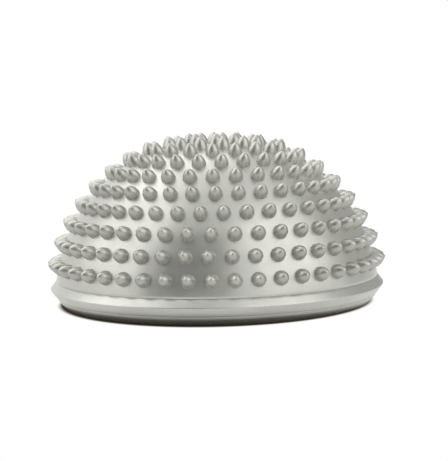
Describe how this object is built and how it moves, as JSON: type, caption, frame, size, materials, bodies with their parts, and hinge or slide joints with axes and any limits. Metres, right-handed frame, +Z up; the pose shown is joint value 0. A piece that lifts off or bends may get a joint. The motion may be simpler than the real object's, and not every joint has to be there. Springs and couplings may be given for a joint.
{
  "type": "spiky balance pod",
  "caption": "Air-filled half ball with moulded spikes on its dome, a double-lipped rim, a flat ringed base and a push-in valve plug underneath.",
  "frame": {"origin": "centre of the face that the pod stands on", "axes": "+Z up through the crown, -Y towards whoever faces the front, +X to their right"},
  "size_m": [0.16, 0.16, 0.0801],
  "materials": {
    "silver_pvc": "semi-gloss soft moulded PVC, silver grey",
    "valve_rubber": "satin",
    "plug_white": "semi-gloss"
  },
  "bodies": {
    "pod": {"dome_skin": "silver_pvc", "base_disc": "silver_pvc", "valve_bung": "valve_rubber"},
    "plug": {"valve_plug": "plug_white"}
  },
  "joints": [
    {"name": "plug_pull", "type": "slide", "parent": "pod", "child": "plug", "axis": [0, 0, -1], "range_m": [0, 0.02]}
  ]
}
